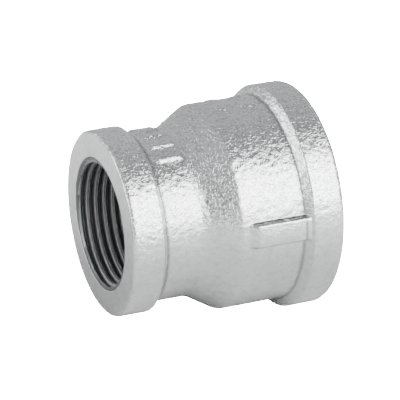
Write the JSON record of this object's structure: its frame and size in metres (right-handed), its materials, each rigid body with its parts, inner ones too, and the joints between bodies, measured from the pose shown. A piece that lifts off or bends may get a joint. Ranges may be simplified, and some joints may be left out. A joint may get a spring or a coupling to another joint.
{
  "type": "concentric pipe reducer",
  "caption": "Banded reducing socket joining a one inch pipe to a three quarter inch pipe: round waterway, female parallel threads at both ends, galvanised cast iron.",
  "frame": {"origin": "middle of the overall length, on the common axis of both sockets", "axes": "+X along the axis, out of the large socket; the two lugs lie on +Y and -Y; the casting marks are on +Z"},
  "size_m": [0.043, 0.0456, 0.0456],
  "materials": {
    "cut_iron": "freshly tapped iron, dark with a film of cutting oil",
    "zinc": "hot-dip galvanised zinc over a rough cast skin, half bright"
  },
  "bodies": {
    "root": {"iron_casting": "cut_iron", "outer_zinc_coat": "zinc", "waterway_zinc_coat": "zinc"}
  },
  "joints": []
}
